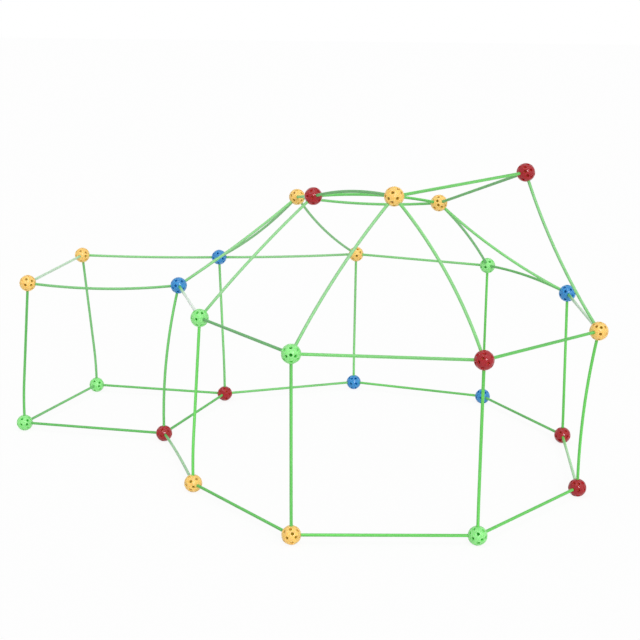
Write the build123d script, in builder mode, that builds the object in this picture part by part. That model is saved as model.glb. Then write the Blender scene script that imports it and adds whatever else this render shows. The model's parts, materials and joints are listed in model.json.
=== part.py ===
"""
Children's rod-and-ball den frame: nine-sided walls under a peaked roof, with a cube porch on one side.

It is put together from two mouldings only: twenty-seven connector balls with 26 blind sockets each, and fifty
identical round rods pushed into them. The play of a push fit lets a rod lean away from its socket's own line.
Here each ball is turned to face its rods as nearly as it can, and then its sockets lean onto them.

The frame stands on the floor at Z = 0, its origin below the middle of its outer size. The porch is on -X.
"""

import os
from itertools import permutations

import numpy as np
from build123d import *

# Driving dimensions, mm
BALL_D = 46.0
ROD_D = 7.5
ROD_LENGTH = 400.0
SOCKET_CLEARANCE = 0.05  # all round the rod
SOCKET_FLOOR = 15.0  # from the ball's centre to the flat end of a socket
MOUTH_FLAT_D = 10.6  # the small flat that each socket opens through
LEAD_IN = 0.4  # chamfer at the mouth
POLE_RING_D = (12.0, 17.6)  # sunk ring round the mouth at each pole
POLE_RING_HEIGHT = 21.4  # from the ball's centre to the bottom of that ring
STRAIGHT_SEAT = 10.5  # straight length at each end of a bowed rod, seated part and a little more
STRAIGHT_WITHIN = 0.02  # a rod whose end leaves its chord by less than this is straight all the way
LEAST_APART = 2 * np.sin(np.radians(31.2) / 2)  # between two sockets' unit vectors, for a wall between them

BALL_R = BALL_D / 2
MOUTH_HEIGHT = np.sqrt(BALL_R**2 - (MOUTH_FLAT_D / 2) ** 2)
PITCH = ROD_LENGTH + 2 * SOCKET_FLOOR  # between two balls' centres on a straight rod
SEAT_REACH = SOCKET_FLOOR + STRAIGHT_SEAT  # from a ball's centre to where its rods may start to bend

# Compass headings in degrees from +X, walking round the base ring from ball 1 to ball 2 and so on
BASE_HEADINGS = (90, 38, -2, -45, -75, -112, -160, 147, 127)
PORCH_HEADING = 187
# How far each post's top ball stands from the ball under it, mm along X and Y
WALL_LEANS = ((35, 45), (-30, 40), (15, -35), (15, -55), (10, -60), (45, -50), (10, -35), (-5, 0), (15, 30))
PORCH_LEANS = ((50, -30), (-15, -35))
# Rough places of the roof's balls over the middle of the base ring, which settle() then makes exact
ROOF_PLACES = ((-290, 215, 650), (-95, -165, 710), (205, -455, 760), (430, -95, 785), (140, 185, 660))
# Eaves balls and roof balls that the nine rafters join, and the rods between the roof balls
RAFTERS = ((1, 1), (2, 1), (3, 1), (4, 5), (5, 5), (6, 4), (7, 3), (8, 3), (9, 2))
CROWN = ((1, 2), (2, 3), (3, 4), (4, 5), (5, 1), (2, 5))
# How far the load pushes the middle of a rod off its straight line, mm along X, Y and Z
BOWS = {
    "base_rod_9": (0, 0, 8),
    "eaves_rod_2": (0, 0, -3),
    "eaves_rod_4": (0, 0, 10),
    "porch_top_rod_2": (0, 0, -13),
    "porch_top_rod_3": (0, 0, -3),
    "rafter_1": (3, 0, -6),
    "rafter_2": (4, 0, -13),
    "rafter_3": (-8, 0, -12),
    "rafter_4": (5, 0, 8),
    "rafter_5": (-9, 0, -12),
    "rafter_6": (-13, 0, -5),
    "rafter_7": (17, 0, 12),
    "rafter_8": (-10, 0, 6),
    "rafter_9": (-3, -3, 6),
    "crown_rod_2": (0, 0, 12),
    "crown_rod_5": (0, 0, -11),
    "crown_rod_6": (0, 0, 12),
}
# The way that a ball's upper pole faces, along X, Y and Z, where another turn would suit its rods as well
POLE_FACINGS = {
    "base_ball_7": (0.71, -0.31, -0.63),
    "base_ball_8": (0.74, -0.09, 0.66),
    "eaves_ball_1": (0.09, -0.75, -0.66),
    "eaves_ball_5": (0.49, -0.62, 0.62),
    "eaves_ball_8": (0.31, -0.74, -0.60),
    "roof_ball_3": (-0.64, -0.43, -0.63),
    "roof_ball_5": (0.66, -0.63, 0.41),
}
FACING_WEIGHT = 0.7  # of a pole's facing against one rod's direction, when a ball is turned
# A post leaves its base ball square and turns towards its top ball about a corner this high over its foot
CORNER_HEIGHT = 75
CORNER_HEIGHTS = {"wall_post_1": 215, "wall_post_5": 50, "wall_post_6": 215}


def unit(vector):
    return vector / np.linalg.norm(vector)


def ring(count):
    """Pairs of neighbours round a closed ring of that many balls."""
    return [(k + 1, k % count + 2 if k < count - 1 else 1) for k in range(count)]


def frame_rods():
    """Every rod by name, with the two balls that it joins."""
    rods = {}
    for level in ("base", "eaves"):
        for k, (a, b) in enumerate(ring(9), 1):
            rods[f"{level}_rod_{k}"] = (f"{level}_ball_{a}", f"{level}_ball_{b}")
    for k in range(1, 10):
        rods[f"wall_post_{k}"] = (f"base_ball_{k}", f"eaves_ball_{k}")
    for k in (1, 2):
        rods[f"porch_post_{k}"] = (f"porch_base_ball_{k}", f"porch_top_ball_{k}")
    for part, ring_ball in (("base", "base_ball"), ("top", "eaves_ball")):
        rods[f"porch_{part}_rod_1"] = (f"porch_{part}_ball_1", f"porch_{part}_ball_2")
        for k in (1, 2):
            rods[f"porch_{part}_rod_{k + 1}"] = (f"porch_{part}_ball_{k}", f"{ring_ball}_{k}")
    for k, (a, b) in enumerate(RAFTERS, 1):
        rods[f"rafter_{k}"] = (f"eaves_ball_{a}", f"roof_ball_{b}")
    for k, (a, b) in enumerate(CROWN, 1):
        rods[f"crown_rod_{k}"] = (f"roof_ball_{a}", f"roof_ball_{b}")
    return rods


def rough_places():
    """Where each ball stands before settle(), with the base balls' centres at Z = 0."""
    places = {}
    at = np.zeros(3)
    for k, heading in enumerate(np.radians(BASE_HEADINGS), 1):
        places[f"base_ball_{k}"] = at
        at = at + PITCH * np.array([np.cos(heading), np.sin(heading), 0])
    middle = sum(places.values()) / len(places)
    places = {name: place - middle for name, place in places.items()}
    out = PITCH * np.array([np.cos(np.radians(PORCH_HEADING)), np.sin(np.radians(PORCH_HEADING)), 0])
    for k in (1, 2):
        places[f"porch_base_ball_{k}"] = places[f"base_ball_{k}"] + out
    for k, lean in enumerate(WALL_LEANS, 1):
        places[f"eaves_ball_{k}"] = places[f"base_ball_{k}"] + (*lean, PITCH)
    for k, lean in enumerate(PORCH_LEANS, 1):
        places[f"porch_top_ball_{k}"] = places[f"porch_base_ball_{k}"] + (*lean, PITCH)
    for k, place in enumerate(ROOF_PLACES, 1):
        places[f"roof_ball_{k}"] = np.array(place, float)
    return places


def socket_directions():
    """Unit vectors to a ball's 26 sockets: eight round its waist, eight 45 degrees up and down, two poles."""
    directions = []
    for latitude in np.radians((0, 45, -45)):
        for azimuth in np.radians(np.arange(0, 360, 45)):
            flat = np.cos(latitude)
            directions.append((flat * np.cos(azimuth), flat * np.sin(azimuth), np.sin(latitude)))
    return np.array(directions + [(0, 0, 1), (0, 0, -1)])


def axes_from(first, second):
    """Three square axes as rows, the first along `first` and the second in the plane of both."""
    normal = unit(np.cross(first, second))
    return np.array([first, np.cross(normal, first), normal])


SOCKETS = socket_directions()
SOCKET_COSINES = SOCKETS @ SOCKETS.T
POLES = slice(-2, None)
UPPER_POLE = -2


def turn_ball(wanted, facing):
    """
    The turn that best faces a ball's sockets along the wanted directions, and the socket that each one uses.
    Every pair of sockets is tried on the first two directions, then the turn is refined by least squares.
    The way that the upper pole faces counts as one more direction, where it isn't (0, 0, 0).
    """
    least, found = np.inf, None
    aims = np.vstack((wanted, FACING_WEIGHT * np.array(facing)))
    pole_aim = np.linalg.norm(aims[-1]) * SOCKETS[UPPER_POLE]
    apart = wanted[0] @ wanted[1]
    for i, j in permutations(range(len(SOCKETS)), 2):
        if abs(SOCKET_COSINES[i, j]) > 0.99 or abs(SOCKET_COSINES[i, j] - apart) > 0.35:
            continue
        turn = axes_from(wanted[0], wanted[1]).T @ axes_from(SOCKETS[i], SOCKETS[j])
        for _ in range(3):
            used = (wanted @ turn @ SOCKETS.T).argmax(axis=1)
            aimed = np.vstack((SOCKETS[used], pole_aim))
            left, _, right = np.linalg.svd(aims.T @ aimed)
            turn = left @ np.diag((1, 1, np.linalg.det(left @ right))) @ right
        error = np.sum((aims - aimed @ turn.T) ** 2)
        if len(set(used)) == len(used) and error < least - 1e-4:
            least, found = error, (turn, used)
    return found


def aimed_sockets(wanted, facing):
    """
    A ball's turn and the directions of its sockets.
    A used socket lies exactly along its wanted direction. The free ones near it lean with it, and are then
    eased apart until there is a wall between them all.
    """
    turn, used = turn_ball(wanted, facing)
    directions = SOCKETS @ turn.T
    nearness = np.clip(directions @ directions[used].T, 0, 1) ** 3
    directions += nearness @ np.linalg.solve(nearness[used], wanted - directions[used])
    for _ in range(60):
        away = directions[:, None] - directions
        gaps = np.linalg.norm(away, axis=2) + np.eye(len(directions))
        directions += np.sum((np.clip(LEAST_APART - gaps, 0, None) / gaps)[:, :, None] * away, axis=1) / 2
        directions[used] = wanted
        directions /= np.linalg.norm(directions, axis=1)[:, None]
    return turn, directions


def corner(rod, start, end):
    """The point where the lines of a rod's two straight ends meet, just outside the middle of its bow."""
    if "post" in rod:
        return start + (0, 0, CORNER_HEIGHTS.get(rod, CORNER_HEIGHT))
    return (start + end) / 2 + np.multiply(BOWS.get(rod, (0, 0, 0)), 2 / (1 + 2 * SEAT_REACH / PITCH))


def leaving_directions(rods, places):
    """For each ball, the direction in which each rod leaves it, and in which a base ball meets the floor."""
    leaving = {name: {} for name in places}
    for rod, (a, b) in rods.items():
        for ball in (a, b):
            leaving[ball][rod] = unit(corner(rod, places[a], places[b]) - places[ball])
    for name in places:
        if "base" in name:
            leaving[name]["floor"] = np.array([0, 0, -1.0])
    return leaving


def route(rod, first, last):
    """A rod's first end, where its bend starts and ends, and its last end, from its two balls' centres."""
    turning = corner(rod, first, last)
    out, back = unit(turning - first), unit(turning - last)
    tangent_length = min(np.linalg.norm(turning - first), np.linalg.norm(turning - last)) - SEAT_REACH
    bend = turning - tangent_length * out, turning - tangent_length * back
    return first + SOCKET_FLOOR * out, *bend, last + SOCKET_FLOOR * back


def rod_length(start, leave, arrive, end):
    """A rod's length: its two straight ends and the arc between them."""
    half_turn = np.arccos(np.clip(unit(arrive - leave) @ unit(leave - start), -1, 1))
    arc = np.linalg.norm(arrive - leave) / np.sinc(half_turn / np.pi)
    return np.linalg.norm(leave - start) + arc + np.linalg.norm(end - arrive)


def spaced(places, rods, spans):
    """Moves the balls as little as it takes for each rod's two balls to stand its span apart."""
    names = list(places)
    at = np.array([places[name] for name in names])
    on_floor = [k for k, name in enumerate(names) if "base" in name]
    pairs = [(names.index(a), names.index(b)) for a, b in rods.values()]
    for _ in range(6):
        pulls = np.zeros((len(pairs), *at.shape))
        gaps = np.zeros(len(pairs))
        for row, ((a, b), span) in enumerate(zip(pairs, spans.values())):
            along = at[b] - at[a]
            gaps[row] = span - np.linalg.norm(along)
            pulls[row, b], pulls[row, a] = unit(along), -unit(along)
        pulls[:, on_floor, 2] = 0
        at = at + np.linalg.lstsq(pulls.reshape(len(pairs), -1), gaps, rcond=None)[0].reshape(at.shape)
    return dict(zip(names, at))


def settle(rods):
    """Where each ball stands once every rod has its full length."""
    places = rough_places()
    spans = dict.fromkeys(rods, PITCH)
    for _ in range(5):
        places = spaced(places, rods, spans)
        for rod, (a, b) in rods.items():
            spans[rod] += ROD_LENGTH - rod_length(*route(rod, places[a], places[b]))
    at = np.array(list(places.values()))
    middle = (at.min(axis=0) + at.max(axis=0)) / 2
    shift = np.array([-middle[0], -middle[1], MOUTH_HEIGHT])
    return {name: place + shift for name, place in places.items()}


def along_z(origin, direction):
    """A plane at a point whose Z axis is the direction."""
    return Plane(origin=tuple(origin), z_dir=tuple(direction))


# What a socket cuts out of a connector ball: a blind hole, its lead-in and the small flat round its mouth
with BuildPart() as socket_cutter:
    with BuildSketch(Plane.XZ) as socket_profile:
        with BuildLine():
            socket_r = ROD_D / 2 + SOCKET_CLEARANCE
            Polyline(
                (0, SOCKET_FLOOR),
                (socket_r, SOCKET_FLOOR),
                (socket_r, MOUTH_HEIGHT - LEAD_IN),
                (socket_r + LEAD_IN, MOUTH_HEIGHT),
                (MOUTH_FLAT_D / 2 + 0.8, MOUTH_HEIGHT),
                (MOUTH_FLAT_D / 2 + 0.8, BALL_R + 1),
                (0, BALL_R + 1),
                close=True,
            )
        make_face()
    revolve(axis=Axis.Z)

with BuildPart() as pole_ring_cutter:
    with BuildSketch(Plane.XY.offset(POLE_RING_HEIGHT)):
        Circle(POLE_RING_D[1] / 2)
        Circle(POLE_RING_D[0] / 2, mode=Mode.SUBTRACT)
    extrude(amount=BALL_R)


def connector_ball(place, turn, directions):
    """A connector ball: a sphere with its sockets, and a sunk ring round the one at each pole."""
    with BuildPart() as ball:
        with Locations(Plane(origin=tuple(place), x_dir=tuple(turn[:, 0]), z_dir=tuple(turn[:, 2]))):
            Sphere(BALL_R)
        with Locations(*(along_z(place, direction) for direction in directions)):
            add(socket_cutter.part, mode=Mode.SUBTRACT)
        with Locations(*(along_z(place, direction) for direction in directions[POLES])):
            add(pole_ring_cutter.part, mode=Mode.SUBTRACT)
    return ball.part


def push_fit_rod(start, leave, arrive, end):
    """A rod from one socket's floor to the other's: straight at both ends, with one arc between them."""
    chord = unit(end - start)
    off_chord = np.linalg.norm(leave - start - ((leave - start) @ chord) * chord)
    with BuildPart() as rod:
        with BuildLine() as path:
            if off_chord < STRAIGHT_WITHIN:
                Line(tuple(start), tuple(end))
            else:
                Line(tuple(start), tuple(leave))
                TangentArc(tuple(leave), tuple(arrive), tangent=tuple(unit(leave - start)))
                Line(tuple(arrive), tuple(end))
        with BuildSketch(along_z(start, unit(leave - start))):
            Circle(ROD_D / 2)
        sweep(path=path.line)
    return rod.part


RODS = frame_rods()
PLACES = settle(RODS)
LEAVING = leaving_directions(RODS, PLACES)
AIMED = {
    ball: aimed_sockets(np.array(list(directions.values())), POLE_FACINGS.get(ball, (0, 0, 0)))
    for ball, directions in LEAVING.items()
}

# Nodes that hold several like rods, so that the frame stays within sixty files
GROUPS = {"base_rods": "base_rod_", "eaves_rods": "eaves_rod_", "porch_base_rods": "porch_base_rod_"}

pieces = {ball: connector_ball(PLACES[ball], *AIMED[ball]) for ball in PLACES}
shaped_rods = {rod: push_fit_rod(*route(rod, PLACES[a], PLACES[b])) for rod, (a, b) in RODS.items()}
for group, prefix in GROUPS.items():
    pieces[group] = Compound(children=[shaped_rods.pop(rod) for rod in RODS if rod.startswith(prefix)])
pieces.update(shaped_rods)

os.makedirs("parts", exist_ok=True)
for name, piece in pieces.items():
    piece.label = name
    export_step(piece, f"parts/{name}.step")
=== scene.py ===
"""
Children's rod-and-ball den frame: moulded connector balls, extruded rods, floor, light and camera.

No piece is placed by hand. Each ball's centre and sockets are measured on its CAD solid, and each rod is
drawn from the sockets that hold it, so the finished pieces lie exactly where the frame says.
"""

import json

import bmesh
import bpy
import numpy as np
from mathutils import Matrix


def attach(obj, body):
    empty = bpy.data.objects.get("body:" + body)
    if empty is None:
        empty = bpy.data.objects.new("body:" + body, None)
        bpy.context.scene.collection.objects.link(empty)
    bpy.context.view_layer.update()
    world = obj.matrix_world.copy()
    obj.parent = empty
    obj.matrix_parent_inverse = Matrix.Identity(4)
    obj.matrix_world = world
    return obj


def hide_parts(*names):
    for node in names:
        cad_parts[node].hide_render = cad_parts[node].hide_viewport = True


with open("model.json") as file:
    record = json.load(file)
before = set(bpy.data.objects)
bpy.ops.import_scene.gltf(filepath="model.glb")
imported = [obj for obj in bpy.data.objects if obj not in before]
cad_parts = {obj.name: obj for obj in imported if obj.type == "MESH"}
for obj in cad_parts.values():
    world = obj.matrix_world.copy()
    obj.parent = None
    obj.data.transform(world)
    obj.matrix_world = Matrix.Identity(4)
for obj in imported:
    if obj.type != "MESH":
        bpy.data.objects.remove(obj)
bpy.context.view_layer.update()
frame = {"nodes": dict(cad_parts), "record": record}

BODY_OF = {node: body for body, nodes in frame["record"]["behaviour"]["bodies"].items() for node in nodes}

# Connector balls. Each is one glossy moulding, 46 mm across, with 26 blind sockets for 7.5 mm rods. Every
# socket opens through a small flat with a rounded lead-in, and the two at the poles stand in a sunk ring. A
# fine parting line runs round the waist, where the halves of the mould meet.
BALL_RADIUS = 0.023
SOCKET_RADIUS = 0.0038
SOCKET_FLOOR = 0.015  # how far out from the ball's centre a socket's floor lies
FLOOR_FILLET = 0.0003
WALL_HEIGHTS = (0.0165, 0.0185, 0.0205)  # how far out the circles of a socket's straight wall lie
LEAD_IN = 0.00045
MOUTH_FLAT_RADIUS = 0.0053
MOUTH_HEIGHT = np.sqrt(BALL_RADIUS**2 - MOUTH_FLAT_RADIUS**2)
FLAT_DISH = 0.00001  # how far the flat round a mouth sinks between its edges
POLE_RING_HEIGHT = 0.0214
POLE_RING_RADII = (0.0059, 0.0085)  # between which the sunk ring's flat floor lies
PARTING_LINE_DEPTH = 0.00012
BEYOND_FLOOR_RIM = 0.0013  # from SOCKET_FLOOR to a radius that holds the whole floor and no other flat face
SLIVER = 1e-8  # twice the area of the least CAD triangle whose normal is trusted
SAME_PLANE = 2e-5  # how near to a plane a point counts as lying in it
PATCH_ANGLE = np.radians(14.6)  # from a socket's axis to where its patch of the ball's surface ends
PATCH_GAP = np.radians(1.3)  # least clear angle between a patch and the points strewn outside it
POLE_RING_END = np.radians(23.6)  # from a pole's axis to where the spiral of strewn points starts
SPIRAL_LATITUDE = np.radians(2.4)  # how near the parting line the spiral comes
SOCKET_SEGMENTS = 32
POLE_RING_SEGMENTS = 48
PARTING_LINE_SEGMENTS = 150
STREWN_POINTS = 5200


def unit(vectors):
    """Vectors of length 1 along the given ones."""
    return vectors / np.linalg.norm(vectors, axis=-1, keepdims=True)


def mesh_arrays(mesh):
    """A triangle mesh's vertices as (n, 3) and its triangles as (m, 3)."""
    places = np.empty(3 * len(mesh.vertices), np.float32)
    mesh.vertices.foreach_get("co", places)
    mesh.calc_loop_triangles()
    corners = np.empty(3 * len(mesh.loop_triangles), np.int32)
    mesh.loop_triangles.foreach_get("vertices", corners)
    return places.reshape(-1, 3).astype(float), corners.reshape(-1, 3)


def measured_ball(node):
    """
    A CAD ball's centre, the directions of its sockets, and which two of them are its poles.
    The flat floor of a socket faces along the socket and stands SOCKET_FLOOR out from the centre, so the
    centre is the least-squares point that far behind every floor. The poles are the two sockets with the
    corners of a sunk ring's floor round them, POLE_RING_HEIGHT out.
    """
    places, corners = mesh_arrays(frame["nodes"][node].data)
    middle = (places.min(axis=0) + places.max(axis=0)) / 2
    farthest = np.linalg.norm(places[corners] - middle, axis=2).max(axis=1)
    a, b, c = np.moveaxis(places[corners[farthest < SOCKET_FLOOR + BEYOND_FLOOR_RIM]], 1, 0)
    normals = np.cross(b - a, c - a)
    broad = np.linalg.norm(normals, axis=1) > SLIVER
    floor_points, normals = a[broad], unit(normals[broad])
    reach = np.sum(normals * floor_points, axis=1) - SOCKET_FLOOR
    centre = np.linalg.lstsq(normals, reach, rcond=None)[0]
    directions = []
    while len(normals):
        same = normals @ normals[0] > np.cos(PATCH_ANGLE)
        directions.append(unit(normals[same].sum(axis=0)))
        normals = normals[~same]
    directions = np.array(directions)
    along = (places - centre) @ directions.T
    across = np.sqrt(np.sum((places - centre) ** 2, axis=1)[:, None] - along**2)
    on_ring = np.abs(along - POLE_RING_HEIGHT) < SAME_PLANE
    on_ring &= (across > POLE_RING_RADII[0]) & (across < POLE_RING_RADII[1])
    return centre, directions, np.argsort(on_ring.sum(axis=0))[-2:]


def circles(axis, radii, heights, segments):
    """
    Circles about an axis as (circle, segment, 3), at angles t:
    height * axis + radius * (cos t * side + sin t * other side).
    """
    side = unit(np.cross(axis, np.eye(3)[np.abs(axis).argmin()]))
    turn = np.arange(segments) * 2 * np.pi / segments
    around = np.cos(turn)[:, None] * side + np.sin(turn)[:, None] * np.cross(axis, side)
    return np.multiply.outer(heights, axis)[:, None] + np.multiply.outer(radii, around)


def on_ball(radii):
    """The height over the ball's centre of a circle of that radius on its surface."""
    return np.sqrt(BALL_RADIUS**2 - np.square(radii))


def socket_profile():
    """
    A socket from near the middle of its floor to the edge of its patch, as radii and heights: a flat floor,
    a small fillet, a straight wall, a lead-in rounded in a quarter sine, the dished flat, and the ball's
    curve. The circle nearest the middle is closed by a fan in ball_mesh.
    """
    innermost = 0.002
    fillet = np.linspace(0, np.pi / 2, 4)
    lead_in = np.linspace(0, np.pi / 2, 6)
    flat = (0.0047, 0.00515)
    outer = np.array((0.00538, 0.0056, BALL_RADIUS * np.sin(PATCH_ANGLE)))
    radii = np.concatenate((
        [innermost],
        SOCKET_RADIUS - FLOOR_FILLET + FLOOR_FILLET * np.sin(fillet),
        [SOCKET_RADIUS] * len(WALL_HEIGHTS),
        SOCKET_RADIUS + LEAD_IN * (1 - np.cos(lead_in)),
        flat,
        outer,
    ))
    heights = np.concatenate((
        [SOCKET_FLOOR],
        SOCKET_FLOOR + FLOOR_FILLET * (1 - np.cos(fillet)),
        WALL_HEIGHTS,
        MOUTH_HEIGHT - LEAD_IN * (1 - np.sin(lead_in)),
        [MOUTH_HEIGHT - FLAT_DISH] * len(flat),
        on_ball(outer),
    ))
    return radii, heights


def strewn(directions, poles):
    """
    The points of a ball outside its sockets' patches: a label, which is where each lies on a unit sphere for
    the sake of joining them up, and its real place. They are a golden-angle spiral, the circles of each
    pole's sunk ring, and the parting line.
    """
    count = np.arange(STREWN_POINTS) + 0.5
    height = 1 - 2 * count / STREWN_POINTS
    azimuth = count * np.pi * (1 + np.sqrt(5))
    girth = np.sqrt(1 - height**2)
    spiral = np.stack((girth * np.cos(azimuth), girth * np.sin(azimuth), height), axis=1)
    axis = directions[poles[1]]
    off_rings = np.max(spiral @ directions[poles].T, axis=1) < np.cos(POLE_RING_END)
    off_line = np.abs(spiral @ axis) > np.sin(SPIRAL_LATITUDE)
    spiral = spiral[off_rings & off_line]
    labels, places = [spiral], [BALL_RADIUS * spiral]

    # outwards: the edge on the ball, a rounded step, the sunk flat floor, and the ball's surface again
    ring_labels = np.radians((15.9, 17.1, 18.3, 19.6, 21.0, 22.4))
    ring_radii = np.array((0.00597, 0.00606, 0.0062, 0.0072, 0.0083, 0.0087))
    ring_heights = np.array((on_ball(0.00597), 0.02148, *[POLE_RING_HEIGHT] * 3, on_ball(0.0087)))
    for pole in directions[poles]:
        on_sphere = circles(pole, np.sin(ring_labels), np.cos(ring_labels), POLE_RING_SEGMENTS)
        labels.append(on_sphere.reshape(-1, 3))
        places.append(circles(pole, ring_radii, ring_heights, POLE_RING_SEGMENTS).reshape(-1, 3))

    # a groove with three circles: one edge, its bottom and the other edge
    line_labels = np.radians((-1.3, 0, 1.3))
    on_sphere = circles(axis, np.cos(line_labels), np.sin(line_labels), PARTING_LINE_SEGMENTS)
    labels.append(on_sphere.reshape(-1, 3))
    latitudes = np.radians((-0.45, 0, 0.45))
    reach = BALL_RADIUS - PARTING_LINE_DEPTH * np.array((0, 1, 0))
    groove = circles(axis, reach * np.cos(latitudes), reach * np.sin(latitudes), PARTING_LINE_SEGMENTS)
    places.append(groove.reshape(-1, 3))

    labels, places = np.concatenate(labels), np.concatenate(places)
    nearest = np.max(labels @ directions.T, axis=1)
    others = np.max(labels @ np.delete(directions, poles, axis=0).T, axis=1)
    clear = (nearest < np.cos(PATCH_ANGLE + PATCH_GAP / 2)) & (others < np.cos(PATCH_ANGLE + PATCH_GAP))
    return labels[clear], places[clear]


def hull_triangles(labels):
    """The triangles of the convex hull of points on a unit sphere, all facing outwards."""
    mesh = bpy.data.meshes.new("hull")
    mesh.from_pydata(labels, [], [])
    hull = bmesh.new()
    hull.from_mesh(mesh)
    bmesh.ops.convex_hull(hull, input=hull.verts)
    hull.to_mesh(mesh)
    hull.free()
    _, corners = mesh_arrays(mesh)
    bpy.data.meshes.remove(mesh)
    a, b, c = np.moveaxis(labels[corners], 1, 0)
    inward = np.sum(np.cross(b - a, c - a) * a, axis=1) < 0
    corners[inward] = corners[inward][:, ::-1]
    return corners


def ball_mesh(name, centre, directions, poles):
    """
    A ball as one closed mesh. Each socket is a patch of circles that follow its profile. The patches' outer
    circles and the strewn points are joined by the convex hull of their labels on a unit sphere.
    """
    radii, heights = socket_profile()
    rings, segments, sockets = len(radii), SOCKET_SEGMENTS, len(directions)
    patches = np.array([circles(direction, radii, heights, segments) for direction in directions])
    rim = ([np.sin(PATCH_ANGLE)], [np.cos(PATCH_ANGLE)])
    rims = np.array([circles(direction, *rim, segments)[0] for direction in directions])
    labels, places = strewn(directions, poles)
    vertices = np.concatenate((patches.reshape(-1, 3), SOCKET_FLOOR * directions, places))

    ids = np.arange(sockets * rings * segments).reshape(sockets, rings, segments)
    following = np.roll(ids, -1, axis=2)
    quads = np.stack((ids[:, :-1], ids[:, 1:], following[:, 1:], following[:, :-1]), axis=-1).reshape(-1, 4)
    floors = np.broadcast_to((ids.size + np.arange(sockets))[:, None], (sockets, segments))
    fans = np.stack((floors, ids[:, 0], following[:, 0]), axis=-1).reshape(-1, 3)

    # the hull without the triangles that cap a patch, whose corners all lie on that patch's outer circle
    hull = hull_triangles(np.concatenate((rims.reshape(-1, 3), labels)))
    owner = np.where(hull < rims.size // 3, hull // segments, -1)
    capping = (owner[:, 0] >= 0) & np.all(owner == owner[:, :1], axis=1)
    strewn_ids = ids.size + sockets + np.arange(len(labels))
    hull_to_mesh = np.concatenate((ids[:, -1].reshape(-1), strewn_ids))
    skin = hull_to_mesh[hull[~capping]]

    mesh = bpy.data.meshes.new(name)
    mesh.from_pydata(vertices + centre, [], quads.tolist() + fans.tolist() + skin.tolist())
    mesh.shade_smooth()
    # how deep in a socket each point lies, from 0 at the mouth and on the ball's surface to 1 at the floor
    depth = np.zeros(len(vertices), np.float32)
    ring_depth = np.clip((MOUTH_HEIGHT - heights) / (MOUTH_HEIGHT - SOCKET_FLOOR), 0, 1)
    ring_depth[radii > MOUTH_FLAT_RADIUS] = 0
    depth[: ids.size] = np.broadcast_to(ring_depth[:, None], (sockets, rings, segments)).reshape(-1)
    depth[ids.size : ids.size + sockets] = 1
    mesh.attributes.new("socket_depth", "FLOAT", "POINT").data.foreach_set("value", depth)
    return mesh


def from_screen(red, green, blue):
    """A linear colour from screen values of 0 to 255: each, divided by 255, to the power 2.2."""
    return (*((np.array((red, green, blue)) / 255) ** 2.2), 1.0)


def feed(tree, socket, value):
    """Links an output to an input socket, or gives the socket a plain value."""
    if isinstance(value, bpy.types.NodeSocket):
        tree.links.new(value, socket)
    else:
        socket.default_value = value


def attribute(tree, name, output="Fac"):
    """A mesh attribute, as a single value or, from the output "Vector", as a vector."""
    reader = tree.nodes.new("ShaderNodeAttribute")
    reader.attribute_name = name
    return reader.outputs[output]


def noise(tree, place, scale, detail):
    """Smooth noise around a half: scale patches to each unit of place, with detail finer layers."""
    texture = tree.nodes.new("ShaderNodeTexNoise")
    texture.inputs["Scale"].default_value = scale
    texture.inputs["Detail"].default_value = detail
    tree.links.new(place, texture.inputs["Vector"])
    return texture.outputs["Fac"]


def arithmetic(tree, operation, first, second):
    """One step of arithmetic on two values, each an output or a plain number."""
    step = tree.nodes.new("ShaderNodeMath")
    step.operation = operation
    feed(tree, step.inputs[0], first)
    feed(tree, step.inputs[1], second)
    return step.outputs["Value"]


def remapped(tree, value, source=(0, 1), target=(0, 1), curve="LINEAR"):
    """A value carried over from a source range to a target range, and held at that range's ends."""
    step = tree.nodes.new("ShaderNodeMapRange")
    step.interpolation_type = curve
    for name, end in zip(("From Min", "From Max", "To Min", "To Max"), (*source, *target)):
        step.inputs[name].default_value = end
    tree.links.new(value, step.inputs["Value"])
    return step.outputs["Result"]


def blended(tree, share, first, second):
    """The first colour with that share of the second mixed into it."""
    mix = tree.nodes.new("ShaderNodeMix")
    mix.data_type = "RGBA"
    feed(tree, mix.inputs["A"], first)
    feed(tree, mix.inputs["B"], second)
    tree.links.new(share, mix.inputs["Factor"])
    return mix.outputs["Result"]


def bumped(tree, height, strength, distance, under=None):
    """A normal tilted by a height that rises distance metres from 0 to 1, on top of the normal under it."""
    bump = tree.nodes.new("ShaderNodeBump")
    bump.inputs["Strength"].default_value = strength
    bump.inputs["Distance"].default_value = distance
    tree.links.new(height, bump.inputs["Height"])
    if under is not None:
        tree.links.new(under, bump.inputs["Normal"])
    return bump.outputs["Normal"]


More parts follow.
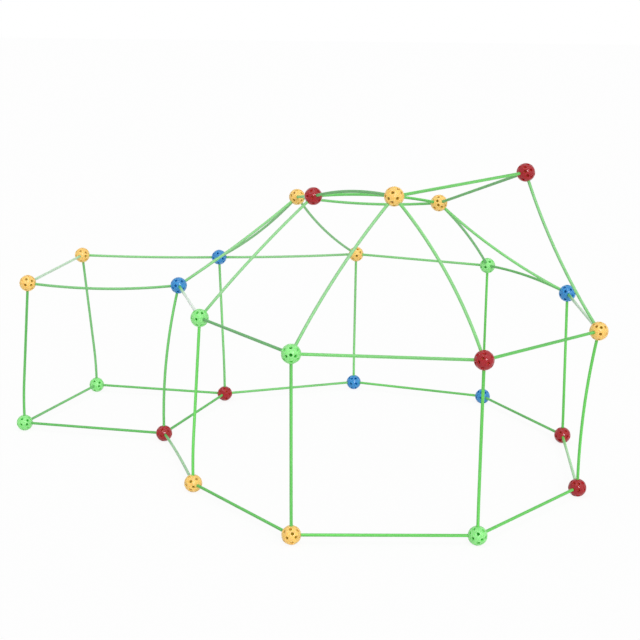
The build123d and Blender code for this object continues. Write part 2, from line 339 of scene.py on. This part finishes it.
def ball_plastic(name, colour, painted_wall_light, painted_floor_shading, roughness, reflection, translucence):
    """
    Glossy injection-moulded plastic: a colour with faint flow mottling, with painted light on the sockets'
    walls and painted shading at their floors, deeper than the colour except on red, where it is lighter. Its
    roughness varies like handled plastic and grows down the unpolished sockets. Its bump is the mould's fine
    grain on top of shallow sink marks.
    """
    material = bpy.data.materials.new(name)
    material.use_nodes = True
    tree = material.node_tree
    shader = tree.nodes["Principled BSDF"]
    place = tree.nodes.new("ShaderNodeTexCoord").outputs["Object"]
    depth = attribute(tree, "socket_depth")

    tone = np.array(colour[:3])
    flow = noise(tree, place, scale=70, detail=4)
    surface = blended(tree, flow, (*(0.88 * tone), 1), (*np.minimum(1, 1.1 * tone), 1))
    # painted light on the sockets' upper walls and painted shading at their floors, by depth
    for source, painted_socket_shading in (((0.05, 0.3), painted_wall_light), ((0.7, 1), painted_floor_shading)):
        surface = blended(tree, remapped(tree, depth, source, curve="SMOOTHSTEP"), surface, painted_socket_shading)
    tree.links.new(surface, shader.inputs["Base Color"])

    handling = noise(tree, place, scale=160, detail=6)
    handled = remapped(tree, handling, target=(roughness - 0.07, roughness + 0.1))
    unpolished = arithmetic(tree, "MULTIPLY", depth, 0.8)
    tree.links.new(arithmetic(tree, "MAXIMUM", handled, unpolished), shader.inputs["Roughness"])

    sink_marks = bumped(tree, noise(tree, place, scale=125, detail=0), strength=1, distance=0.0015)
    grain = noise(tree, place, scale=1400, detail=3)
    grained = bumped(tree, grain, strength=0.12, distance=0.0002, under=sink_marks)
    tree.links.new(grained, shader.inputs["Normal"])

    shader.inputs["IOR"].default_value = 1.5
    shader.inputs["Specular IOR Level"].default_value = reflection
    shader.inputs["Subsurface Weight"].default_value = translucence
    shader.inputs["Subsurface Radius"].default_value = tuple(0.4 + 0.6 * tone)
    shader.inputs["Subsurface Scale"].default_value = 0.006
    return material


# each plastic's colour on the ball's surface, then the painted light on its sockets' walls and the painted
# shading at their floors, which is deeper than the surface except on red, where it is lighter
BALL_COLOURS = {
    "ball_orange": ((248, 200, 108), (252, 214, 128), (168, 148, 34)),
    "ball_green": ((142, 228, 134), (158, 252, 150), (28, 162, 38)),
    "ball_blue": ((50, 138, 202), (64, 154, 216), (10, 122, 186)),
    "ball_red": ((163, 20, 32), (222, 74, 76), (196, 84, 56)),
}
# each plastic's name, roughness, reflection and translucence
BALL_FINISHES = {
    "ball_orange": ("orange_plastic", 0.3, 0.5, 0.5),
    "ball_green": ("leaf_green_plastic", 0.3, 0.5, 0.5),
    "ball_blue": ("blue_plastic", 0.22, 0.5, 0.5),
    "ball_red": ("red_plastic", 0.07, 0.42, 0.3),
}
BALL_PLASTICS = {
    slot: ball_plastic(name, *(from_screen(*shade) for shade in BALL_COLOURS[slot]), *finish)
    for slot, (name, *finish) in BALL_FINISHES.items()
}
SLOT_OF = {part["node"]: part["material_slot"] for part in frame["record"]["subparts"]}

balls = {}
for node in sorted(frame["nodes"]):
    if "_ball_" not in node:
        continue
    centre, directions, poles = measured_ball(node)
    balls[node] = (centre, directions)
    ball = bpy.data.objects.new(f"{node}_moulding", ball_mesh(f"{node}_moulding", centre, directions, poles))
    bpy.context.scene.collection.objects.link(ball)
    ball.data.materials.append(BALL_PLASTICS[SLOT_OF[node]])
    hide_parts(node)
    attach(ball, BODY_OF[node])

# Rods. Fifty alike, cut from one green extruded plastic rod, 7.5 mm thick and 400 mm long, with the edges of
# the cut ends just broken. They are only pushed into the balls, and the standing frame's own weight and lean
# bows many of them.
ROD_RADIUS = 0.00375
SEAT_REACH = SOCKET_FLOOR + 0.0105  # from a ball's centre to where its rods may start to bend
END_CIRCLES = (0, 0.00012, 0.00035, 0.001)  # from a rod's end, along it
BROKEN_EDGE = (0.00045, 0.00016, 0, 0)  # how much narrower they are than the rod
MAIN_CIRCLES = 66
MAIN_START = 0.008  # from a rod's end to the first of its main circles
ROD_SEGMENTS = 28
NO_CORNER = 1 - 1e-7  # cosine of a turn so small that the lines of two sockets have no sure corner
LEAST_TURN = 1e-5  # radians, for a straight rod, so that it has a bend radius too
SURE_TURN = 1e-4  # radians, from where the sockets' lines show which way a rod bends

# which balls the nine rafters and the six crown rods join, by number: eaves and roof, and roof and roof
RAFTERS = ((1, 1), (2, 1), (3, 1), (4, 5), (5, 5), (6, 4), (7, 3), (8, 3), (9, 2))
CROWN = ((1, 2), (2, 3), (3, 4), (4, 5), (5, 1), (2, 5))

ROD_GREENS = (from_screen(89, 183, 76), from_screen(115, 221, 102))
# the grey-green that painted shade mixes in
SHADE_GREEN = from_screen(88, 146, 100)
# the near-white that painted sheen mixes in, standing in for highlights and reflections
SHEEN_WHITE = from_screen(244, 248, 247)
STREAKS_PER_METRE = (4, 500, 500)  # along the rod, and across it both ways
# Each rod is its own stretch of one long extrusion, so that no two carry the same streaks. A set starts as
# far along it as the letters of its name give, and its rods follow one another.
LETTER_STEP, ROD_STEP = 0.11, 0.43

# how far each rod's green is paled towards white, from 0 to 1, where it isn't plain: painted sheen that
# stands in for highlights and grazing reflections
PAINTED_SHEEN_SHARES = {
    "base_rods": (0, 0.07, 0.03, 0.03, 0.43, 0, 0, 0, 0.35),
    "eaves_rods": (0.6, 0.17, 0.14, 0.03, 0.6, 0, 0.09, 0.05, 0.85),
    "porch_base_rods": (0.07, 0, 0.03),
    "porch_top_rod_1": (0.54,),
    "porch_top_rod_2": (0.09,),
    "porch_top_rod_3": (0.15,),
    "porch_post_2": (0.09,),
    "wall_post_1": (0.03,),
    "wall_post_2": (0.1,),
    "wall_post_3": (0.12,),
    "rafter_1": (0.17,),
    "rafter_2": (0.16,),
    "rafter_3": (0.16,),
    "rafter_4": (0.09,),
    "rafter_5": (0.12,),
    "rafter_6": (0.15,),
    "rafter_7": (0.15,),
    "rafter_8": (0.21,),
    "rafter_9": (0.21,),
    "crown_rod_1": (0.07,),
    "crown_rod_2": (0.06,),
    "crown_rod_3": (0.04,),
    "crown_rod_4": (0.09,),
    "crown_rod_5": (0.07,),
}
# how far each rod's green is painted darker and greyer as shade, from 0 to 1, where it is
PAINTED_SHADE_SHARES = {
    "base_rods": (0.4, 0.25, 0.2, 0.3, 0, 0.15, 0.1, 0.3, 0.4),
    "eaves_rods": (0.3, 0.25, 0.2, 0.4, 0.2, 0.3, 0.15, 0.65, 0.2),
    "porch_base_rods": (0.45, 0.4, 0.35),
    "porch_top_rod_1": (0.25,),
    "porch_top_rod_2": (0.4,),
    "porch_top_rod_3": (0.25,),
    "porch_post_1": (0.35,),
    "porch_post_2": (0.35,),
    "wall_post_1": (0.3,),
    "wall_post_2": (0.2,),
    "wall_post_3": (0.1,),
    "wall_post_8": (0.2,),
    "rafter_1": (0.2,),
    "rafter_2": (0.4,),
    "rafter_3": (0.4,),
    "rafter_4": (0.5,),
    "rafter_5": (0.1,),
    "rafter_6": (0.3,),
    "rafter_7": (0.15,),
    "rafter_8": (0.25,),
    "rafter_9": (0.2,),
    "crown_rod_2": (0.55,),
    "crown_rod_3": (0.15,),
    "crown_rod_4": (0.55,),
    "crown_rod_5": (0.3,),
    "crown_rod_6": (0.3,),
}
# A rod's painted sheen is weaker for CLEARER_END from both its ends, down to END_SHARE of it. Five rods,
# by their number in their set, are plain green at one end instead, their first at 0 or their last at 1, and
# grow paler with painted sheen over CLEAR_STRETCH from it.
CLEARER_END = 0.06
END_SHARE = 0.5
CLEAR_ENDS = {
    ("base_rods", 5): 0,
    ("base_rods", 9): 1,
    ("eaves_rods", 1): 1,
    ("eaves_rods", 5): 0,
    ("eaves_rods", 9): 1,
}
CLEAR_STRETCH = (0.03, 0.13)

rods = {
    "base_rods": [(f"base_ball_{k}", f"base_ball_{k % 9 + 1}") for k in range(1, 10)],
    "eaves_rods": [(f"eaves_ball_{k}", f"eaves_ball_{k % 9 + 1}") for k in range(1, 10)],
    "porch_base_rods": [
        ("porch_base_ball_1", "porch_base_ball_2"),
        ("porch_base_ball_1", "base_ball_1"),
        ("porch_base_ball_2", "base_ball_2"),
    ],
    "porch_top_rod_1": [("porch_top_ball_1", "porch_top_ball_2")],
}
for k in range(1, 10):
    rods[f"wall_post_{k}"] = [(f"base_ball_{k}", f"eaves_ball_{k}")]
for k in (1, 2):
    rods[f"porch_post_{k}"] = [(f"porch_base_ball_{k}", f"porch_top_ball_{k}")]
    rods[f"porch_top_rod_{k + 1}"] = [(f"porch_top_ball_{k}", f"eaves_ball_{k}")]
for k, (low, high) in enumerate(RAFTERS, 1):
    rods[f"rafter_{k}"] = [(f"eaves_ball_{low}", f"roof_ball_{high}")]
for k, (one, other) in enumerate(CROWN, 1):
    rods[f"crown_rod_{k}"] = [(f"roof_ball_{one}", f"roof_ball_{other}")]


def rod_surface(first, last):
    """
    A rod between two balls, as vertices, four-sided and three-sided faces, and each vertex's place along and
    around the rod. Its line leaves each ball by the socket that faces the other ball. The two sockets' lines
    meet at a corner, and the rod rounds that corner in one arc of radius R:
    start + straight * d + R * (sin t * d + (1 - cos t) * n) + straight * e,
    where d and e are the rod's directions at its two ends, and n is square to d.
    Circles across that line, narrowed at the broken ends, make its surface, and one point closes each end.
    """
    (from_a, a_sockets), (from_b, b_sockets) = balls[first], balls[last]
    chord = unit(from_b - from_a)
    out = a_sockets[np.argmax(a_sockets @ chord)]
    back = b_sockets[np.argmax(b_sockets @ -chord)]
    corner = np.linalg.lstsq(np.stack((out, -back), axis=1), from_b - from_a, rcond=None)[0]
    if out @ -back > NO_CORNER:
        corner = np.full(2, np.linalg.norm(from_b - from_a) / 2)
    tangent_length = min(corner) - SEAT_REACH
    turn = max(np.arccos(np.clip(out @ -back, -1, 1)), LEAST_TURN)
    bend_radius = tangent_length / np.tan(turn / 2)
    towards = -back if turn >= SURE_TURN else np.eye(3)[np.abs(out).argmin()]
    inwards = unit(towards - (towards @ out) * out)
    before, after = corner - tangent_length - SOCKET_FLOOR
    length = before + bend_radius * turn + after

    ends = np.array(END_CIRCLES)
    main = np.linspace(MAIN_START, length - MAIN_START, MAIN_CIRCLES)
    along = np.concatenate((ends, main, length - ends[::-1]))
    broken = ROD_RADIUS - np.array(BROKEN_EDGE)
    radius = np.concatenate((broken, np.full(MAIN_CIRCLES, ROD_RADIUS), broken[::-1]))
    angle = np.clip((along - before) / bend_radius, 0, turn)[:, None]
    line = from_a + SOCKET_FLOOR * out + np.clip(along, None, before)[:, None] * out
    line = line + bend_radius * (np.sin(angle) * out + (1 - np.cos(angle)) * inwards)
    line = line - np.clip(along - before - bend_radius * turn, 0, None)[:, None] * back
    ahead = np.cos(angle) * out + np.sin(angle) * inwards
    side = np.cross(out, inwards)
    up = np.cross(side, ahead)
    around = np.arange(ROD_SEGMENTS) * 2 * np.pi / ROD_SEGMENTS
    spokes = np.cos(around)[:, None] * up[:, None] + np.sin(around)[:, None] * np.cross(ahead, up)[:, None]
    skin = line[:, None] + radius[:, None, None] * spokes
    vertices = np.concatenate((skin.reshape(-1, 3), line[[0, -1]]))

    ids = np.arange(skin.size // 3).reshape(len(along), ROD_SEGMENTS)
    following = np.roll(ids, -1, axis=1)
    quads = np.stack((ids[:-1], following[:-1], following[1:], ids[1:]), axis=-1).reshape(-1, 4)
    start = np.stack((np.full(ROD_SEGMENTS, ids.size), following[0], ids[0]), axis=-1)
    end = np.stack((np.full(ROD_SEGMENTS, ids.size + 1), ids[-1], following[-1]), axis=-1)

    own = np.stack(np.broadcast_arrays(along[:, None], np.cos(around), np.sin(around)), axis=-1)
    own = np.concatenate((own.reshape(-1, 3), ((0, 0, 0), (length, 0, 0))))
    return vertices, quads, np.concatenate((start, end)), own * (1, ROD_RADIUS, ROD_RADIUS)


def sheen_stretch(along, clear_end):
    """
    How much of its painted sheen a rod has along its length: END_SHARE at both ends and all of it past
    CLEARER_END, or, with a clear end, none there and all of it from the end of CLEAR_STRETCH on.
    """
    if clear_end is None:
        from_end = np.minimum(along, along.max() - along)
        return np.clip(END_SHARE + (1 - END_SHARE) * from_end / CLEARER_END, 0, 1)
    return np.interp(np.abs(along - clear_end * along.max()), CLEAR_STRETCH, (0, 1))


def rod_mesh(name, pairs):
    """One mesh of the rods between those pairs of balls, with what its plastic needs to know at a vertex."""
    surfaces = [rod_surface(*pair) for pair in pairs]
    counts = [len(vertices) for vertices, *_ in surfaces]
    faces = [
        face
        for (_, quads, fans, _), offset in zip(surfaces, np.cumsum([0, *counts]))
        for face in (quads + offset).tolist() + (fans + offset).tolist()
    ]
    mesh = bpy.data.meshes.new(f"{name}_extrusion")
    mesh.from_pydata(np.concatenate([vertices for vertices, *_ in surfaces]), [], faces)
    mesh.shade_smooth()

    start = LETTER_STEP * sum(map(ord, name))
    own = np.concatenate([place + (start + ROD_STEP * k, 0, 0) for k, (*_, place) in enumerate(surfaces)])
    none = (0,) * len(pairs)
    shade_share = np.repeat(PAINTED_SHADE_SHARES.get(name, none), counts)
    stretches = [
        sheen_stretch(place[:, 0], CLEAR_ENDS.get((name, k))) for k, (*_, place) in enumerate(surfaces, 1)
    ]
    sheen_share = np.concatenate(stretches) * np.repeat(PAINTED_SHEEN_SHARES.get(name, none), counts)
    along_rod = mesh.attributes.new("along_rod", "FLOAT_VECTOR", "POINT")
    along_rod.data.foreach_set("vector", own.astype(np.float32).ravel())
    for share, values in (("painted_shade", shade_share), ("painted_sheen", sheen_share)):
        mesh.attributes.new(share, "FLOAT", "POINT").data.foreach_set("value", values.astype(np.float32))
    return mesh


def rod_plastic():
    """
    Satin extruded plastic: green with streaks drawn out along the rod, darkened by painted shade and paled
    by painted sheen as each rod's shares say, a roughness that follows the streaks, and fine draw lines. The
    streaks are noise on the rod's own length and girth, drawn out 125 times along it.
    """
    material = bpy.data.materials.new("green_rod_plastic")
    material.use_nodes = True
    tree = material.node_tree
    shader = tree.nodes["Principled BSDF"]
    drawn = tree.nodes.new("ShaderNodeMapping")
    drawn.inputs["Scale"].default_value = STREAKS_PER_METRE
    tree.links.new(attribute(tree, "along_rod", "Vector"), drawn.inputs["Vector"])
    streak = noise(tree, drawn.outputs["Vector"], scale=1, detail=5)
    clear = remapped(tree, streak, source=(0.35, 0.65))

    colour = blended(tree, clear, *ROD_GREENS)
    uneven = remapped(tree, clear, target=(1.08, 0.88))
    # painted shade darkens each rod and painted sheen pales it, by the rod's own shares
    for share, towards in (("painted_shade", SHADE_GREEN), ("painted_sheen", SHEEN_WHITE)):
        streaked = arithmetic(tree, "MULTIPLY", attribute(tree, share), uneven)
        colour = blended(tree, streaked, colour, towards)
    tree.links.new(colour, shader.inputs["Base Color"])
    tree.links.new(remapped(tree, clear, target=(0.45, 0.6)), shader.inputs["Roughness"])
    tree.links.new(bumped(tree, streak, strength=0.06, distance=0.0002), shader.inputs["Normal"])

    shader.inputs["IOR"].default_value = 1.5
    shader.inputs["Subsurface Weight"].default_value = 0.25
    shader.inputs["Subsurface Radius"].default_value = (0.6, 1, 0.6)
    shader.inputs["Subsurface Scale"].default_value = 0.002
    return material


ROD_PLASTIC = rod_plastic()
for node, pairs in rods.items():
    rod = bpy.data.objects.new(f"{node}_extrusion", rod_mesh(node, pairs))
    bpy.context.scene.collection.objects.link(rod)
    rod.data.materials.append(ROD_PLASTIC)
    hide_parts(node)
    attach(rod, BODY_OF[node])

# Floor. A seamless white studio sweep, so wide that its edge is never in view. The camera sees it as plain
# white paper with the frame's own soft shadow on it, and the frame is lit by it as by matt white paper.
FLOOR_REACH = 40.0
FLOOR_DROP = 0.0002  # keeps it clear of the flats that the balls stand on
FLOOR_WHITE = 0.96
PLAIN_SHARE = 0.9  # how much of what the camera sees of the floor is plain white


def seen(tree):
    """1 for rays that show a surface to the camera, straight, mirrored or through glass, and 0 for light."""
    rays = tree.nodes.new("ShaderNodeLightPath").outputs
    straight_or_mirrored = arithmetic(tree, "MAXIMUM", rays["Is Camera Ray"], rays["Is Glossy Ray"])
    return arithmetic(tree, "MAXIMUM", straight_or_mirrored, rays["Is Transmission Ray"])


def floor_paper():
    """Matt white paper, mostly plain white to the camera and to reflections, with part of its shading."""
    material = bpy.data.materials.new("white_paper")
    material.use_nodes = True
    tree = material.node_tree
    tree.nodes.remove(tree.nodes["Principled BSDF"])
    paper = tree.nodes.new("ShaderNodeBsdfDiffuse")
    paper.inputs["Color"].default_value = (FLOOR_WHITE, FLOOR_WHITE, FLOOR_WHITE, 1)
    white = tree.nodes.new("ShaderNodeEmission")
    mixed = tree.nodes.new("ShaderNodeMixShader")
    tree.links.new(arithmetic(tree, "MULTIPLY", seen(tree), PLAIN_SHARE), mixed.inputs["Fac"])
    tree.links.new(paper.outputs["BSDF"], mixed.inputs[1])
    tree.links.new(white.outputs["Emission"], mixed.inputs[2])
    tree.links.new(mixed.outputs["Shader"], tree.nodes["Material Output"].inputs["Surface"])
    return material


floor_mesh = bpy.data.meshes.new("studio_floor")
corners = FLOOR_REACH * np.array(((-1, -1, 0), (1, -1, 0), (1, 1, 0), (-1, 1, 0)))
floor_mesh.from_pydata(corners - (0, 0, FLOOR_DROP), [], [(0, 1, 2, 3)])
floor_mesh.materials.append(floor_paper())
floor = bpy.data.objects.new("studio_floor", floor_mesh)
bpy.context.scene.collection.objects.link(floor)

# Light. A white room gives an even light from all round. A softbox above the camera and a little to its
# right puts a glint on each ball, and wider ones on the right and overhead leave the left sides and the
# undersides a little deeper. All stand so far off that they act alike all over the floor.
ROOM_LIGHT = 0.45  # the strength at which the room lights the frame
ROOM_WHITE = 1.0  # the strength at which it is seen, plain white

world = bpy.data.worlds.new("white_room")
bpy.context.scene.world = world
world.use_nodes = True
room = world.node_tree.nodes["Background"]
room.inputs["Color"].default_value = (1, 1, 1, 1)
strength = remapped(world.node_tree, seen(world.node_tree), target=(ROOM_LIGHT, ROOM_WHITE))
world.node_tree.links.new(strength, room.inputs["Strength"])


def far_softbox(name, heading, height, width, strength):
    """A far-off lamp. Its heading from +X, its height over the floor and its width across are in degrees."""
    lamp = bpy.data.lights.new(name, "SUN")
    lamp.angle = np.radians(width)
    lamp.energy = strength
    box = bpy.data.objects.new(name, lamp)
    bpy.context.scene.collection.objects.link(box)
    box.rotation_euler = (0, np.radians(90 - height), np.radians(heading))


far_softbox("camera_softbox", heading=-57, height=27, width=20, strength=1.2)
far_softbox("side_softbox", heading=-22, height=38, width=60, strength=0.4)
far_softbox("overhead_softbox", heading=-100, height=72, width=50, strength=0.7)

# Camera. At a standing adult's chest height in front of the frame and a little to the right of its middle,
# turned 20 degrees to the left and looking down 13 degrees on it.
CAMERA_PLACE = (1.2855, -3.3613, 1.2161)
HEADING, LOOK_DOWN, ROLL = 20.0, 13.18, 0.09  # degrees: left of +Y, below level, and counterclockwise
SENSOR_WIDTH, FOCAL_LENGTH = 36, 75.95  # millimetres

camera_data = bpy.data.cameras.new("camera")
camera_data.sensor_width = SENSOR_WIDTH
camera_data.lens = FOCAL_LENGTH
camera = bpy.data.objects.new("camera", camera_data)
bpy.context.scene.collection.objects.link(camera)
aim = Matrix.Rotation(np.radians(HEADING), 4, "Z") @ Matrix.Rotation(np.radians(90 - LOOK_DOWN), 4, "X")
camera.matrix_world = Matrix.Translation(CAMERA_PLACE) @ aim @ Matrix.Rotation(np.radians(ROLL), 4, "Z")
bpy.context.scene.camera = camera
bpy.context.scene.view_settings.view_transform = "Standard"
